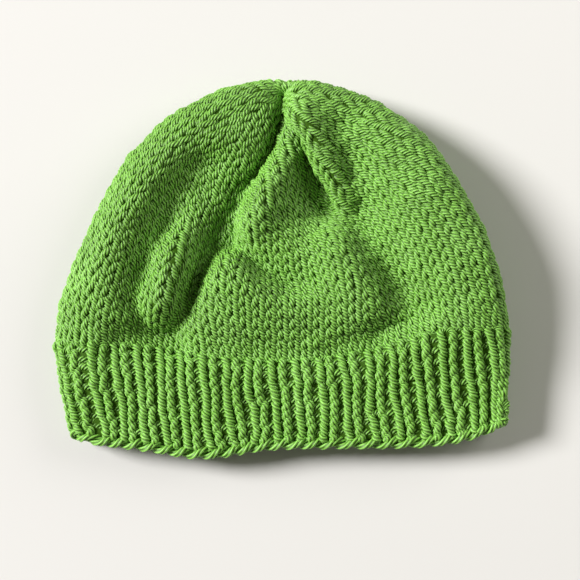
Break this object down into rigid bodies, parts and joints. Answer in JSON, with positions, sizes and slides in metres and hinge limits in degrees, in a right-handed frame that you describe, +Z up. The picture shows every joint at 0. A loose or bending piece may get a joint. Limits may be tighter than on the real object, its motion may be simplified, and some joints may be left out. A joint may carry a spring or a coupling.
{
  "type": "knit beanie",
  "caption": "Hand-knit ribbed beanie lying flat and softly puffed: corded cast-on edge, single-rib band, plain knit body, crown drawn together in wedges with soft creases.",
  "frame": {"origin": "centre of the footprint on the surface that the cap lies on", "axes": "+Z up from the floor through the flattened cap; +Y from the brim opening towards the crown; +X across the cap, to the right as seen from above with the brim nearest"},
  "size_m": [0.2198, 0.181, 0.0292],
  "materials": {
    "yarn": "soft plied yarn, matte with a slight sheen, light fuzz"
  },
  "bodies": {
    "root": {"cast_on_edge": "yarn", "rib_band_front": "yarn", "rib_band_back": "yarn", "body_front": "yarn", "body_back": "yarn", "crown_wedge_1": "yarn", "crown_wedge_2": "yarn", "crown_wedge_3": "yarn", "crown_wedge_4": "yarn", "crown_wedge_5": "yarn", "crown_wedge_6": "yarn", "crown_wedge_7": "yarn", "crown_wedge_8": "yarn", "crown_gather": "yarn", "cast_on_tail": "yarn", "closing_tail": "yarn"}
  },
  "joints": []
}
